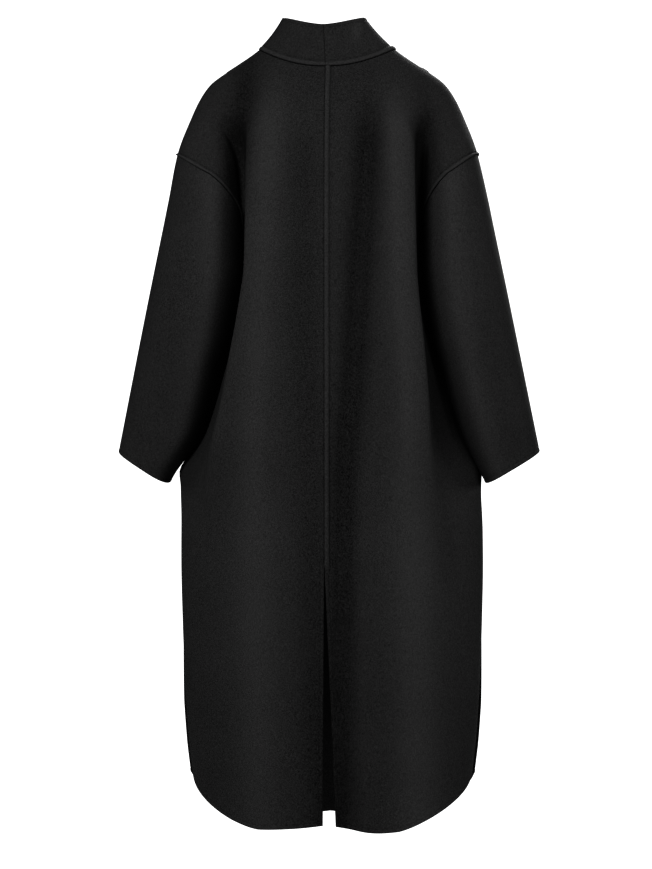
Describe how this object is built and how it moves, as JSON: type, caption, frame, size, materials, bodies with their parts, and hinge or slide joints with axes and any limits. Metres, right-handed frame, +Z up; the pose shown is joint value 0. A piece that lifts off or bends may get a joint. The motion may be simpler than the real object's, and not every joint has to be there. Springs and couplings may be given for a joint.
{
  "type": "single-breasted coat",
  "caption": "Long loose single-breasted coat of black double-faced wool in its worn, hollow form, with a standing collar, dropped shoulders, back vent, side slits and a curved hem.",
  "frame": {"origin": "midway between the two side neck points, where the coat hangs on the shoulders", "axes": "+Z up, +Y the way the wearer faces, +X to the wearer's right"},
  "size_m": [0.6678, 0.2789, 1.266],
  "materials": {
    "wool": "brushed, felted double-faced wool",
    "button": "satin, horn look"
  },
  "bodies": {
    "root": {"back_left": "wool", "back_right": "wool", "front_left": "wool", "front_right": "wool", "sleeve_left": "wool", "sleeve_right": "wool", "collar_left": "wool", "collar_right": "wool", "button_1": "button", "button_2": "button", "button_3": "button", "button_4": "button"}
  },
  "joints": []
}
